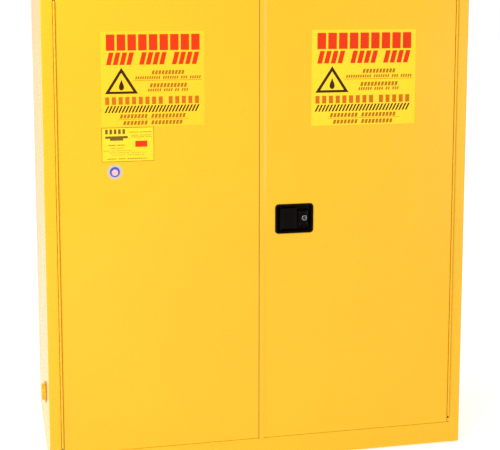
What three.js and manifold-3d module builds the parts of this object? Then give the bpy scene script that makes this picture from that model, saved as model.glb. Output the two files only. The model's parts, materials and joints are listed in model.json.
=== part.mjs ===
// A two-door flammable storage cabinet of double-wall sheet steel, in millimetres.
// The origin is on the floor under the middle of the cabinet, +Z is up, and the doors face -Y.
import * as THREE from "three";
import { mergeVertices } from "three/addons/utils/BufferGeometryUtils.js";
import Module from "manifold-3d";

const wasm = await Module();
wasm.setup();

// ---------------------------------------------------------------- driving dimensions

const WIDTH = 1473;
const DEPTH = 787;
const HEIGHT = 1651;
const SHEET = 1.2; // 18 gauge steel
const WALL_GAP = 38; // air space between the two walls
const GAP = 0.3; // between pieces that touch
const FOOT_GAP = 6; // floor to the underside of the cabinet

const STILE = 39; // visible width of the front frame at each side
const RAIL_TOP = 26;
const RAIL_BOTTOM = 75;
const JAMB = 41; // depth of the door opening, from the front to the stop
const STOP = 14; // how far the door stop reaches into the opening
const REAR_FLANGE = 20;
const BEND = 4; // outside radius of the bends of the outer shell

const SUMP_DEPTH = 51;
const DOOR_THICK = 38;
const GAP_ABOVE = 3; // door edge to frame
const GAP_BELOW = 1.2;
const DOOR_TO_JAMB = 8; // door edge to frame at the hinge side
const LIP_REACH = 12.5; // how far the right door's lip reaches past the middle
const LIP_PROUD = 2; // how far the lip stands in front of the door's face
const LIP_OVER = 5; // how far the lip covers the frame above and below

const HINGE_RADIUS = 3.5;
const HINGE_KNUCKLES = 12;
const HINGE_LOW = 104;
const HINGE_HIGH = 1607;

const VENT_LOW = 232; // the left vent's centre above the floor
const VENT_DROP = 150; // the right vent's centre below the top
const VENT_Y = -180;
const VENT_BORE = 25;
const VENT_TUBE = 30;
const BUNG_RADIUS = 34;
const BUNG_PROUD = 16;

const HANDLE = { x: 110.2, z: 860.5, width: 135.5, height: 103 };
const LOCK = { x: 147, z: 860.5 };
const HUB_TURN = 45; // degrees
const ROD_TRAVEL = 16;

const SHELF_TOP = 1200;
const SHELF_DEPTH = 345;
const DECK_WIDTH = 600;
const DECK_LENGTH = 600;
const DECK_X = 345; // a deck's centre line from the middle
const ROLLER_RADIUS = 22;
const ROLLER_PITCH = 120;
const ROLLERS = 5;

// ---------------------------------------------------------------- planes worked out from them

const SIDE = WIDTH / 2;
const FRONT = -DEPTH / 2;
const BACK = DEPTH / 2;
const OPEN_X = SIDE - STILE; // the door opening's edge
const OPEN_LOW = FOOT_GAP + RAIL_BOTTOM;
const OPEN_HIGH = HEIGHT - RAIL_TOP;
const STOP_Y = FRONT + JAMB;
const LINER_X = SIDE - SHEET - WALL_GAP; // the liner's hidden face
const LINER_IN = LINER_X - SHEET;
const LINER_FRONT = STOP_Y + SHEET + GAP;
const BACK_PANEL_Y = BACK - SHEET - GAP;
const LINER_BACK = BACK_PANEL_Y - SHEET - WALL_GAP;
const LINER_TOP = HEIGHT - SHEET - WALL_GAP;
const SUMP_FLOOR = OPEN_LOW - SUMP_DEPTH;
const DOOR_EDGE = OPEN_X - DOOR_TO_JAMB;
const DOOR_LOW = OPEN_LOW + GAP_BELOW;
const DOOR_HIGH = OPEN_HIGH - GAP_ABOVE;
const DOOR_BACK = FRONT + DOOR_THICK;
const HINGE_X = (OPEN_X + DOOR_EDGE) / 2 + 0.25;
const HINGE_Y = FRONT - 1.5;

// ---------------------------------------------------------------- latch geometry

const LATCH_Y = FRONT + 29; // the layer in which the rods and the bolt slide
const PIN_ARM = ROD_TRAVEL / (2 * Math.sin(THREE.MathUtils.degToRad(HUB_TURN / 2)));
const HUB = { x: HANDLE.x, z: HANDLE.z };
const half = THREE.MathUtils.degToRad(HUB_TURN / 2);
const armLong = PIN_ARM * Math.cos(half);
const armShort = PIN_ARM * Math.sin(half);
const UPPER_X = HUB.x + armLong; // the upper rod's line
const LOWER_X = HUB.x - armLong;
const BOLT_Z = HUB.z + armLong;
const ROD_RADIUS = 4.75;
const ROD_REACH = 12; // how far a rod stands past the door's edge

// ---------------------------------------------------------------- solids

const STEEL_YELLOW = { color: 0xf7c52e, roughness: 0.28, metalness: 0 };
const GALVANISED = { color: 0xb4b8ba, roughness: 0.45, metalness: 0.9 };
const BRIGHT_STEEL = { color: 0xc4c4c2, roughness: 0.3, metalness: 1 };
const CHROME = { color: 0xd8d8d8, roughness: 0.1, metalness: 1 };
const BLACK = { color: 0x161514, roughness: 0.4, metalness: 0 };
const NYLON = { color: 0x2a2a2a, roughness: 0.6, metalness: 0 };
const BRASS = { color: 0xb8914a, roughness: 0.35, metalness: 1 };

// The solid of a closed three.js geometry.
function solid(geometry) {
  const bare = geometry.clone();
  bare.deleteAttribute("normal");
  bare.deleteAttribute("uv");
  const merged = mergeVertices(bare, 1e-4);
  return new wasm.Manifold(
    new wasm.Mesh({
      numProp: 3,
      vertProperties: new Float32Array(merged.attributes.position.array),
      triVerts: new Uint32Array(merged.index.array),
    }),
  );
}

// The vertices and triangles of a solid, as a three.js geometry.
function geometryOf(made) {
  const mesh = made.getMesh();
  return new THREE.BufferGeometry()
    .setAttribute("position", new THREE.BufferAttribute(mesh.vertProperties, 3))
    .setIndex(new THREE.BufferAttribute(mesh.triVerts, 1));
}

// The same solid on the other side of the cabinet's middle.
function mirrored(made) {
  const geometry = geometryOf(made).applyMatrix4(new THREE.Matrix4().makeScale(-1, 1, 1));
  const order = geometry.index.array;
  for (let i = 0; i < order.length; i += 3) {
    [order[i], order[i + 1]] = [order[i + 1], order[i]];
  }
  return solid(geometry);
}

// A block between two corners, given as [low, high] along each axis.
function block([x0, x1], [y0, y1], [z0, z1]) {
  const box = new THREE.BoxGeometry(x1 - x0, y1 - y0, z1 - z0);
  return solid(box.translate((x0 + x1) / 2, (y0 + y1) / 2, (z0 + z1) / 2));
}

// A round bar along an axis. at holds the other two coordinates, in x, y, z order.
function bar(axis, radius, [from, to], at, sides = 24) {
  const length = to - from;
  const middle = (from + to) / 2;
  const round = new THREE.CylinderGeometry(radius, radius, length, sides);
  if (axis === "x") {
    return solid(round.rotateZ(-Math.PI / 2).translate(middle, at[0], at[1]));
  }
  if (axis === "y") return solid(round.translate(at[0], middle, at[1]));
  return solid(round.rotateX(Math.PI / 2).translate(at[0], at[1], middle));
}

function joined(pieces) {
  return pieces.reduce((whole, piece) => whole.add(piece));
}

function cut(whole, pieces) {
  return pieces.reduce((rest, piece) => rest.subtract(piece), whole);
}

// The outline of a bent sheet. The path follows one face and the metal lies to its left.
// bends holds the outside radius at each inner point of the path.
function foldedOutline(path, bends, steps = 3) {
  const points = path.map(([u, v]) => new THREE.Vector2(u, v));
  const left = (d) => new THREE.Vector2(-d.y, d.x);
  const near = [];
  const far = [];
  const straight = (p, d) => {
    near.push(p.clone());
    far.push(p.clone().addScaledVector(left(d), SHEET));
  };
  const first = points[1].clone().sub(points[0]).normalize();
  straight(points[0], first);
  for (let i = 1; i < points.length - 1; i++) {
    const before = points[i].clone().sub(points[i - 1]).normalize();
    const after = points[i + 1].clone().sub(points[i]).normalize();
    const turn = Math.atan2(before.cross(after), before.dot(after));
    const side = Math.sign(turn);
    const radius = side > 0 ? bends[i - 1] : bends[i - 1] - SHEET;
    const start = points[i].clone().addScaledVector(before, -radius * Math.tan(Math.abs(turn) / 2));
    const centre = start.clone().addScaledVector(left(before), radius * side);
    const arm = start.clone().sub(centre).normalize();
    for (let k = 0; k <= steps; k++) {
      const spoke = arm.clone().rotateAround(new THREE.Vector2(), (turn * k) / steps);
      near.push(centre.clone().addScaledVector(spoke, radius));
      far.push(centre.clone().addScaledVector(spoke, radius - side * SHEET));
    }
  }
  const last = points.at(-1).clone().sub(points.at(-2)).normalize();
  straight(points.at(-1), last);
  return new THREE.Shape([...near, ...far.reverse()]);
}

// A bent sheet whose outline is in the plan, standing between two heights.
function standingSheet(path, bends, [low, high]) {
  const shape = foldedOutline(path, bends);
  const raised = new THREE.ExtrudeGeometry(shape, { depth: high - low, bevelEnabled: false });
  return solid(raised.translate(0, 0, low));
}

// A bent sheet whose outline is in the side view, as [y, z], reaching from one x to another.
const SIDE_VIEW = new THREE.Matrix4().makeBasis(
  new THREE.Vector3(0, 1, 0),
  new THREE.Vector3(0, 0, 1),
  new THREE.Vector3(1, 0, 0),
);
function lyingSheet(path, bends, [low, high]) {
  const shape = foldedOutline(path, bends);
  const drawn = new THREE.ExtrudeGeometry(shape, { depth: high - low, bevelEnabled: false });
  return solid(drawn.applyMatrix4(SIDE_VIEW).translate(low, 0, 0));
}

// A plate with round corners that faces the front, from one y to another.
function frontPlate({ x, z, width, height }, corner, [y0, y1], steps = 4) {
  const shape = new THREE.Shape();
  const [w, h] = [width / 2, height / 2];
  shape.moveTo(-w + corner, -h);
  shape.lineTo(w - corner, -h);
  shape.absarc(w - corner, -h + corner, corner, -Math.PI / 2, 0, false);
  shape.lineTo(w, h - corner);
  shape.absarc(w - corner, h - corner, corner, 0, Math.PI / 2, false);
  shape.lineTo(-w + corner, h);
  shape.absarc(-w + corner, h - corner, corner, Math.PI / 2, Math.PI, false);
  shape.lineTo(-w, -h + corner);
  shape.absarc(-w + corner, -h + corner, corner, Math.PI, 1.5 * Math.PI, false);
  const made = new THREE.ExtrudeGeometry(shape, {
    depth: y1 - y0,
    bevelEnabled: false,
    curveSegments: steps,
  });
  return solid(made.rotateX(Math.PI / 2).translate(x, y1, z));
}

// ---------------------------------------------------------------- the model

const cabinet = new THREE.Group();
cabinet.name = "flammable_storage_cabinet";

function place(name, made, finish) {
  const mesh = new THREE.Mesh(geometryOf(made), new THREE.MeshStandardMaterial(finish));
  mesh.name = name;
  cabinet.add(mesh);
}

// ---------------------------------------------------------------- outer shell

// The hole in the frame that takes a rod's end: end is 1 for the upper rod and -1 for the lower.
function rodHole(end, span) {
  return bar("z", ROD_RADIUS + 1.2, span, [end > 0 ? UPPER_X : LOWER_X, LATCH_Y], 16);
}

const ventHole = (z) => bar("x", VENT_TUBE + 0.6, [-SIDE - 5, -LINER_IN + 5], [VENT_Y, z], 24);

// One side of the shell: rear flange, side, front stile, jamb and door stop in one bent sheet.
function outerSide(ventZ) {
  const path = [
    [-SIDE + REAR_FLANGE, BACK],
    [-SIDE, BACK],
    [-SIDE, FRONT],
    [-OPEN_X, FRONT],
    [-OPEN_X, STOP_Y],
    [-OPEN_X + STOP, STOP_Y],
  ];
  const sheet = standingSheet(path, [2.5, BEND, 2.5, 2.5], [FOOT_GAP, HEIGHT]);
  const behindFace = [FRONT + SHEET + 1.6, LINER_FRONT + 1];
  const jambX = [-OPEN_X - SHEET - 0.5, -OPEN_X + STOP + 1];
  const stopX = [-OPEN_X, -OPEN_X + STOP + 1];
  return cut(sheet, [
    block(jambX, behindFace, [0, OPEN_LOW - SHEET - GAP]),
    block(jambX, behindFace, [OPEN_HIGH + SHEET + GAP, HEIGHT + 1]),
    block(stopX, behindFace, [0, OPEN_LOW + STOP + GAP]),
    block(stopX, behindFace, [OPEN_HIGH - STOP - GAP, HEIGHT + 1]),
    ventHole(ventZ),
  ]);
}

// Clears the ends of the top or bottom sheet where the side sheets, their stiles and flanges pass.
function trimmedEnds(sheet, [low, high], cavity) {
  const cuts = [];
  for (const side of [-1, 1]) {
    const from = (x) => (side < 0 ? [-SIDE - 5, -x] : [x, SIDE + 5]);
    cuts.push(block(from(OPEN_X - GAP), [FRONT - 5, LINER_FRONT + 2], cavity));
    cuts.push(block(from(OPEN_X - GAP), [FRONT - 5, FRONT + 3.2], [low, high]));
    cuts.push(block(from(SIDE - BEND), [FRONT - 5, FRONT + BEND], [low, high]));
    cuts.push(block(from(SIDE - BEND), [BACK - BEND, BACK + 5], [low, high]));
    cuts.push(block(from(SIDE - REAR_FLANGE - GAP), [BACK_PANEL_Y, BACK + 5], [low, high]));
  }
  return cut(sheet, cuts);
}

const insideSides = [-SIDE + SHEET + GAP, SIDE - SHEET - GAP];

function outerTop() {
  const path = [
    [BACK, HEIGHT - REAR_FLANGE],
    [BACK, HEIGHT],
    [FRONT, HEIGHT],
    [FRONT, OPEN_HIGH],
    [STOP_Y, OPEN_HIGH],
    [STOP_Y, OPEN_HIGH - STOP],
  ];
  const sheet = lyingSheet(path, [2.5, 3, 2.5, 2.5], insideSides);
  const span = [OPEN_HIGH - STOP - 5, HEIGHT + 5];
  const trimmed = trimmedEnds(sheet, span, [span[0], HEIGHT - SHEET - GAP]);
  return cut(trimmed, [rodHole(1, [OPEN_HIGH - 2, OPEN_HIGH + 4])]);
}

const FOOT_X = 660;
const FOOT_Y = 330;
const FOOT_PAD = 22;
const FEET = [
  ["foot_front_left", -1, -1],
  ["foot_front_right", 1, -1],
  ["foot_rear_left", -1, 1],
  ["foot_rear_right", 1, 1],
].map(([name, sx, sy]) => ({ name, at: [sx * FOOT_X, sy * FOOT_Y] }));
const STUD_RADIUS = 5;

function outerBottom() {
  const path = [
    [STOP_Y, OPEN_LOW + STOP],
    [STOP_Y, OPEN_LOW],
    [FRONT, OPEN_LOW],
    [FRONT, FOOT_GAP],
    [BACK, FOOT_GAP],
    [BACK, FOOT_GAP + REAR_FLANGE],
  ];
  const sheet = lyingSheet(path, [2.5, 2.5, 3, 2.5], insideSides);
  const span = [FOOT_GAP - 5, OPEN_LOW + STOP + 5];
  const trimmed = trimmedEnds(sheet, span, [FOOT_GAP + SHEET + GAP, span[1]]);
  const nuts = FEET.map(({ at }) => bar("z", 12, [FOOT_GAP + 0.5, FOOT_GAP + 11], at, 6));
  const bores = FEET.map(({ at }) => bar("z", STUD_RADIUS + 0.4, [0, 30], at, 16));
  return cut(joined([trimmed, ...nuts]), [...bores, rodHole(-1, [OPEN_LOW - 4, OPEN_LOW + 2])]);
}

place("outer_left_side", outerSide(VENT_LOW), STEEL_YELLOW);
const stud = { y: 300, z: 90 };
const studHole = bar("x", 4.4, [SIDE - 3, SIDE + 3], [stud.y, stud.z], 12);
place("outer_right_side", mirrored(outerSide(HEIGHT - VENT_DROP)).subtract(studHole), STEEL_YELLOW);
place("outer_top", outerTop(), STEEL_YELLOW);
place("outer_bottom", outerBottom(), STEEL_YELLOW);
place(
  "outer_back",
  block(
    [-SIDE + BEND, SIDE - BEND],
    [BACK_PANEL_Y - SHEET, BACK_PANEL_Y],
    [FOOT_GAP + BEND, HEIGHT - BEND],
  ),
  STEEL_YELLOW,
);

// ---------------------------------------------------------------- inner walls and sump

const CLIP_ROWS = 8;
const CLIP_PITCH = 100;
const CLIP_FIRST = 670;
const CLIP_COLUMNS = [SHELF_DEPTH * 0.15, SHELF_DEPTH * 0.85];

// A side wall of the liner, with two columns of slots for the shelf clips.
function innerSide(ventZ) {
  const wall = block(
    [-LINER_X, -LINER_IN],
    [LINER_FRONT, LINER_BACK - SHEET - GAP],
    [OPEN_LOW + GAP, LINER_TOP - SHEET - GAP],
  );
  const slots = CLIP_COLUMNS.flatMap((y) =>
    Array.from({ length: CLIP_ROWS }, (_, row) => {
      const z = CLIP_FIRST + row * CLIP_PITCH;
      return block([-LINER_X - 1, -LINER_IN + 1], [y - 3, y + 3], [z, z + 14]);
    }),
  );
  return cut(wall, [...slots, ventHole(ventZ)]);
}

place("inner_left_wall", innerSide(VENT_LOW), STEEL_YELLOW);
place("inner_right_wall", mirrored(innerSide(HEIGHT - VENT_DROP)), STEEL_YELLOW);
place(
  "inner_top",
  block([-LINER_X, LINER_X], [LINER_FRONT, LINER_BACK], [LINER_TOP - SHEET, LINER_TOP]),
  STEEL_YELLOW,
);
place(
  "inner_back",
  block(
    [-LINER_X, LINER_X],
    [LINER_BACK - SHEET, LINER_BACK],
    [OPEN_LOW + GAP, LINER_TOP - SHEET - GAP],
  ),
  STEEL_YELLOW,
);

// The leakproof pan: its front wall rises behind the door stop.
function sumpPan() {
  const whole = block([-LINER_X, LINER_X], [LINER_FRONT, LINER_BACK], [SUMP_FLOOR - SHEET, OPEN_LOW]);
  const hollow = block(
    [-LINER_IN, LINER_IN],
    [LINER_FRONT + SHEET, LINER_BACK - SHEET],
    [SUMP_FLOOR, OPEN_LOW + 1],
  );
  const frontRise = block(
    [-LINER_IN + GAP, LINER_IN - GAP],
    [LINER_FRONT, LINER_FRONT + SHEET],
    [OPEN_LOW - 5, OPEN_LOW + STOP],
  );
  return cut(whole, [hollow]).add(frontRise);
}
place("sump_pan", sumpPan(), STEEL_YELLOW);

// ---------------------------------------------------------------- vents and ground stud

const HOLE_RING = 14; // the arrester's holes: their circle's radius
const HOLE_RADIUS = 4;

// A through-wall socket, its inner flame arrester and its outer screwed bung, on the left side.
function ventPieces(z) {
  const at = [VENT_Y, z];
  const outer = -SIDE - 1;
  const inner = -LINER_IN + 1;
  const socket = cut(bar("x", VENT_TUBE, [outer, inner], at, 24), [
    bar("x", VENT_BORE, [outer - 1, inner + 1], at, 24),
  ]);
  const ringHoles = Array.from({ length: 6 }, (_, i) => {
    const angle = (i * Math.PI) / 3;
    const hole = [VENT_Y + HOLE_RING * Math.cos(angle), z + HOLE_RING * Math.sin(angle)];
    return bar("x", HOLE_RADIUS, [inner - 2, inner + 8], hole, 6);
  });
  const arrester = cut(bar("x", VENT_TUBE + 3, [inner + GAP, inner + GAP + 3], at, 24), [
    ...ringHoles,
    bar("x", HOLE_RADIUS, [inner - 2, inner + 8], at, 6),
  ]);
  const cap = bar("x", BUNG_RADIUS, [-SIDE - BUNG_PROUD, outer - GAP], at, 24);
  const thread = bar("x", VENT_BORE - 0.6, [outer - 1, outer + 13], at, 24);
  const hollow = bar("x", VENT_BORE - 4.5, [-SIDE - 3, outer + 14], at, 24);
  const drive = block(
    [-SIDE - BUNG_PROUD - 1, -SIDE - BUNG_PROUD + 8],
    [VENT_Y - 10, VENT_Y + 10],
    [z - 10, z + 10],
  );
  return { socket, arrester, bung: cut(cap.add(thread), [drive, hollow]) };
}

for (const [side, z, turn] of [
  ["left", VENT_LOW, (made) => made],
  ["right", HEIGHT - VENT_DROP, mirrored],
]) {
  const pieces = ventPieces(z);
  place(`${side}_vent_socket`, turn(pieces.socket), GALVANISED);
  place(`${side}_flame_arrester`, turn(pieces.arrester), BRASS);
  place(`${side}_vent_bung`, turn(pieces.bung), STEEL_YELLOW);
}

const studAt = [stud.y, stud.z];
place(
  "ground_stud",
  joined([
    bar("x", 4, [SIDE - 10, SIDE + 12], studAt, 12),
    bar("x", 7.5, [SIDE - 8, SIDE - SHEET - GAP], studAt, 6),
    bar("x", 9, [SIDE + GAP, SIDE + 1.8], studAt, 16),
    bar("x", 7.5, [SIDE + 1.5, SIDE + 8], studAt, 6),
  ]),
  BRASS,
);

for (const { name, at } of FEET) {
  place(
    name,
    bar("z", FOOT_PAD, [0, 5], at, 24).add(bar("z", STUD_RADIUS, [4, 26], at, 12)),
    BRIGHT_STEEL,
  );
}

// ---------------------------------------------------------------- shelf and roller decks

const SHELF_EDGE = 30;
const shelfX = LINER_IN - 2.6;
const shelfY = [LINER_BACK - SHEET - 6 - SHELF_DEPTH, LINER_BACK - SHEET - 6];
place(
  "shelf",
  cut(block([-shelfX, shelfX], shelfY, [SHELF_TOP - SHELF_EDGE, SHELF_TOP]), [
    block(
      [-shelfX + SHEET, shelfX - SHEET],
      [shelfY[0] + SHEET, shelfY[1] - SHEET],
      [SHELF_TOP - SHELF_EDGE - 1, SHELF_TOP - SHEET],
    ),
  ]),
  GALVANISED,
);

// A clip on the left wall: a plate, a ledge under the shelf's edge and a tab through a slot.
function shelfClip(y) {
  const ledgeTop = SHELF_TOP - SHELF_EDGE - GAP;
  const plateX = [-LINER_IN + GAP, -LINER_IN + GAP + SHEET];
  const width = [y - 12, y + 12];
  return joined([
    block(plateX, width, [ledgeTop - 18, ledgeTop + 24]),
    block([plateX[0], -LINER_IN + 16], width, [ledgeTop - SHEET, ledgeTop]),
    block([-LINER_IN + 16 - SHEET, -LINER_IN + 16], width, [ledgeTop - 8, ledgeTop]),
    block([-LINER_X - 3, plateX[1]], [y - 2.4, y + 2.4], [ledgeTop + 1.2, ledgeTop + 10]),
  ]);
}

for (const [where, y] of [
  ["front", CLIP_COLUMNS[0]],
  ["rear", CLIP_COLUMNS[1]],
]) {
  place(`shelf_clip_left_${where}`, shelfClip(y), GALVANISED);
  place(`shelf_clip_right_${where}`, mirrored(shelfClip(y)), GALVANISED);
}

const DECK_FLOOR = SUMP_FLOOR + GAP;
const AXLE_Z = SUMP_FLOOR + 46;
const AXLE_RADIUS = 6;
const AXLE_BORE = 7; // eight-sided, so its flats clear the axle as it turns
const rollerY = Array.from(
  { length: ROLLERS },
  (_, i) => (i - (ROLLERS - 1) / 2) * ROLLER_PITCH,
);

// A welded frame of two side angles and three cross bars, with holes for the rollers' stub axles.
function rollerDeck(x) {
  const [w, l] = [DECK_WIDTH / 2, DECK_LENGTH / 2];
  const length = [-l, l];
  const sides = [-1, 1].flatMap((side) => {
    const outer = x + side * w;
    const span = (from, to) => [Math.min(from, to), Math.max(from, to)];
    return [
      block(span(outer - side * 4, outer), length, [DECK_FLOOR, AXLE_Z + 14]),
      block(span(outer - side * 28, outer), length, [DECK_FLOOR, DECK_FLOOR + 4]),
    ];
  });
  const bars = [-l + 20, 0, l - 20].map((y) =>
    block([x - w + 2, x + w - 2], [y - 20, y + 20], [DECK_FLOOR + 0.5, DECK_FLOOR + 6]),
  );
  const bores = rollerY.map((y) =>
    bar("x", AXLE_BORE, [x - w - 5, x + w + 5], [y, AXLE_Z], 8),
  );
  return cut(joined([...sides, ...bars]), bores);
}

function roller(x, y) {
  const w = DECK_WIDTH / 2;
  return bar("x", ROLLER_RADIUS, [x - w + 6, x + w - 6], [y, AXLE_Z], 20).add(
    bar("x", AXLE_RADIUS, [x - w - 3, x + w + 3], [y, AXLE_Z], 8),
  );
}

for (const [side, x] of [
  ["left", -DECK_X],
  ["right", DECK_X],
]) {
  place(`${side}_roller_deck`, rollerDeck(x), GALVANISED);
  rollerY.forEach((y, i) => place(`${side}_roller_${i + 1}`, roller(x, y), BRIGHT_STEEL));
}

// ---------------------------------------------------------------- hinges

const LEAF = 1.5;
const LEAF_FRONT = HINGE_Y + HINGE_RADIUS + 0.8;
const LEAF_BACK = FRONT + 32;
const KNUCKLE = (HINGE_HIGH - HINGE_LOW) / HINGE_KNUCKLES;
const PIN_RADIUS = 1.6;

// A leaf of the left hinge. Its knuckles are every second one, counted from first.
function hingeLeaf(face, first) {
  const leafX = face < 0 ? [-HINGE_X - HINGE_RADIUS, 0] : [0, -HINGE_X + HINGE_RADIUS];
  if (face < 0) leafX[1] = leafX[0] + LEAF;
  else leafX[0] = leafX[1] - LEAF;
  const pieces = [block(leafX, [LEAF_FRONT, LEAF_BACK], [HINGE_LOW, HINGE_HIGH])];
  for (let i = first; i < HINGE_KNUCKLES; i += 2) {
    const span = [HINGE_LOW + i * KNUCKLE + 0.3, HINGE_LOW + (i + 1) * KNUCKLE - 0.3];
    pieces.push(bar("z", HINGE_RADIUS, span, [-HINGE_X, HINGE_Y], 12));
    pieces.push(block(leafX, [HINGE_Y, LEAF_FRONT + 1], span));
  }
  const bore = bar("z", PIN_RADIUS + 0.35, [HINGE_LOW - 1, HINGE_HIGH + 1], [-HINGE_X, HINGE_Y], 6);
  return cut(joined(pieces), [bore]);
}

const hingePin = bar("z", PIN_RADIUS, [HINGE_LOW - 1.5, HINGE_HIGH + 1.5], [-HINGE_X, HINGE_Y], 6);
for (const [side, turn] of [
  ["left", (made) => made],
  ["right", mirrored],
]) {
  place(`${side}_hinge_frame_leaf`, turn(hingeLeaf(-1, 0)), STEEL_YELLOW);
  place(`${side}_hinge_door_leaf`, turn(hingeLeaf(1, 1)), STEEL_YELLOW);
  place(`${side}_hinge_pin`, turn(hingePin), BRIGHT_STEEL);
}

// ---------------------------------------------------------------- doors

const LEFT_FREE = -2; // the left door's free edge
const RIGHT_FREE = 10; // the right door's free edge, behind its lip
const JOGGLE = [RIGHT_FREE - 8.5, RIGHT_FREE + 1.5]; // the slope from the lip to the door's face
const doorZ = [DOOR_LOW, DOOR_HIGH];

// The two end returns of a door pan, between its edges.
function endReturns(x) {
  const y = [FRONT + 0.5, DOOR_BACK];
  return [
    block(x, y, [DOOR_LOW, DOOR_LOW + SHEET]),
    block(x, y, [DOOR_HIGH - SHEET, DOOR_HIGH]),
  ];
}

// A shallow tray that closes a door from behind, nested inside the pan's returns.
function innerPanel([x0, x1]) {
  const inset = SHEET + GAP;
  const y = [DOOR_BACK - 14, DOOR_BACK - 0.1];
  const z = [DOOR_LOW + inset, DOOR_HIGH - inset];
  const tray = block([x0 + inset, x1 - inset], y, z);
  const hollow = block(
    [x0 + inset + SHEET, x1 - inset - SHEET],
    [y[0] - 1, y[1] - SHEET],
    [z[0] + SHEET, z[1] - SHEET],
  );
  return cut(tray, [hollow]);
}

const BOLT_HALF = 9;
const strikeSlot = (x) =>
  block(x, [LATCH_Y - 3.4, LATCH_Y + 3.4], [BOLT_Z - BOLT_HALF - 0.8, BOLT_Z + BOLT_HALF + 0.8]);

// ---------------------------------------------------------------- left door

function leftDoorOuter() {
  const path = [
    [-DOOR_EDGE, DOOR_BACK],
    [-DOOR_EDGE, FRONT],
    [LEFT_FREE, FRONT],
    [LEFT_FREE, DOOR_BACK],
  ];
  const pan = standingSheet(path, [2.5, 2.5], doorZ);
  const whole = joined([pan, ...endReturns([-DOOR_EDGE + 0.6, LEFT_FREE - 0.6])]);
  return cut(whole, [strikeSlot([LEFT_FREE - 5, LEFT_FREE + 5])]);
}
place("left_door_outer", leftDoorOuter(), STEEL_YELLOW);
place(
  "left_door_inner",
  cut(innerPanel([-DOOR_EDGE, LEFT_FREE]), [strikeSlot([LEFT_FREE - 20, LEFT_FREE + 5])]),
  STEEL_YELLOW,
);
place(
  "strike_plate",
  cut(
    block(
      [LEFT_FREE + GAP, LEFT_FREE + GAP + 1.5],
      [LATCH_Y - 7, LATCH_Y + 7],
      [BOLT_Z - 28, BOLT_Z + 28],
    ),
    [strikeSlot([LEFT_FREE - 5, LEFT_FREE + 5])],
  ),
  BRIGHT_STEEL,
);

// ---------------------------------------------------------------- right door

const TUB = { ...HANDLE, width: HANDLE.width - 15, height: HANDLE.height - 15 };
const TUB_DEPTH = 18;

function rightDoorOuter() {
  const path = [
    [-LIP_REACH, FRONT - LIP_PROUD],
    [JOGGLE[0], FRONT - LIP_PROUD],
    [JOGGLE[1], FRONT],
    [DOOR_EDGE, FRONT],
    [DOOR_EDGE, DOOR_BACK],
  ];
  const skin = standingSheet(path, [2, 2, 2.5], [OPEN_LOW - LIP_OVER, OPEN_HIGH + LIP_OVER]);
  const beyond = [JOGGLE[0], SIDE];
  const deep = [FRONT - 5, DOOR_BACK + 5];
  const freeReturn = block([RIGHT_FREE, RIGHT_FREE + SHEET], [FRONT + 0.5, DOOR_BACK], doorZ);
  const trimmed = cut(skin, [
    block(beyond, deep, [0, DOOR_LOW]),
    block(beyond, deep, [DOOR_HIGH, HEIGHT]),
  ]);
  const whole = joined([trimmed, freeReturn, ...endReturns([RIGHT_FREE, DOOR_EDGE - 0.6])]);
  return cut(whole, [
    frontPlate({ ...TUB, width: TUB.width + 1.2, height: TUB.height + 1.2 }, 8, [FRONT - 5, FRONT + 5]),
    rodHole(1, [DOOR_HIGH - 5, DOOR_HIGH + 2]),
    rodHole(-1, [DOOR_LOW - 2, DOOR_LOW + 5]),
    strikeSlot([RIGHT_FREE - 2, RIGHT_FREE + 4]),
  ]);
}
place("right_door_outer", rightDoorOuter(), STEEL_YELLOW);

const rodGroove = (end) => {
  const x = end > 0 ? UPPER_X : LOWER_X;
  const z = end > 0 ? [DOOR_HIGH - 8, DOOR_HIGH] : [DOOR_LOW, DOOR_LOW + 8];
  return block([x - 6, x + 6], [LATCH_Y - 12, LATCH_Y + 6], z);
};
place(
  "right_door_inner",
  cut(innerPanel([RIGHT_FREE, DOOR_EDGE]), [
    rodGroove(1),
    rodGroove(-1),
    strikeSlot([RIGHT_FREE - 2, RIGHT_FREE + 20]),
  ]),
  STEEL_YELLOW,
);

// The recessed pan behind the handle: a flange on the door's face, a tub, and a boss for the lock.
const PADDLE_AXIS = { x: 63, y: FRONT + 4 };
const PADDLE_PIN = 2.4;
const FINGER = { x: [72, 78], z: [HANDLE.z - 5, HANDLE.z + 5] }; // works the hub, through the tub
const BOSS = { x: 143, z: HANDLE.z, width: 38, height: 52 };
const pocketX = [HANDLE.x - TUB.width / 2 + 2, HANDLE.x + TUB.width / 2 - 2];
const pocketZ = [HANDLE.z - TUB.height / 2 + 2, HANDLE.z + TUB.height / 2 - 2];

function handlePan() {
  const flange = frontPlate(HANDLE, 12, [FRONT - 3.2, FRONT - GAP], 5);
  const tub = frontPlate(TUB, 7, [FRONT - 1, FRONT + TUB_DEPTH]);
  const hollow = frontPlate(
    { ...TUB, width: TUB.width - 4, height: TUB.height - 4 },
    5,
    [FRONT - 10, FRONT + TUB_DEPTH - 2],
  );
  const boss = frontPlate(BOSS, 3, [FRONT + 2, FRONT + TUB_DEPTH - 1]);
  const pinBore = bar(
    "z",
    PADDLE_PIN + 0.3,
    [pocketZ[0] - 8, pocketZ[1] + 8],
    [PADDLE_AXIS.x, PADDLE_AXIS.y],
    12,
  );
  const lockBore = bar("y", 9.8, [FRONT - 5, FRONT + 40], [LOCK.x, LOCK.z], 24);
  const fingerSlot = block(
    [FINGER.x[0] - 3, FINGER.x[1] + 12],
    [FRONT + TUB_DEPTH - 3, FRONT + TUB_DEPTH + 1],
    [FINGER.z[0] - 2, FINGER.z[1] + 2],
  );
  return cut(joined([cut(joined([flange, tub]), [hollow]), boss]), [pinBore, lockBore, fingerSlot]);
}
place("handle_pan", handlePan(), BLACK);

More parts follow.
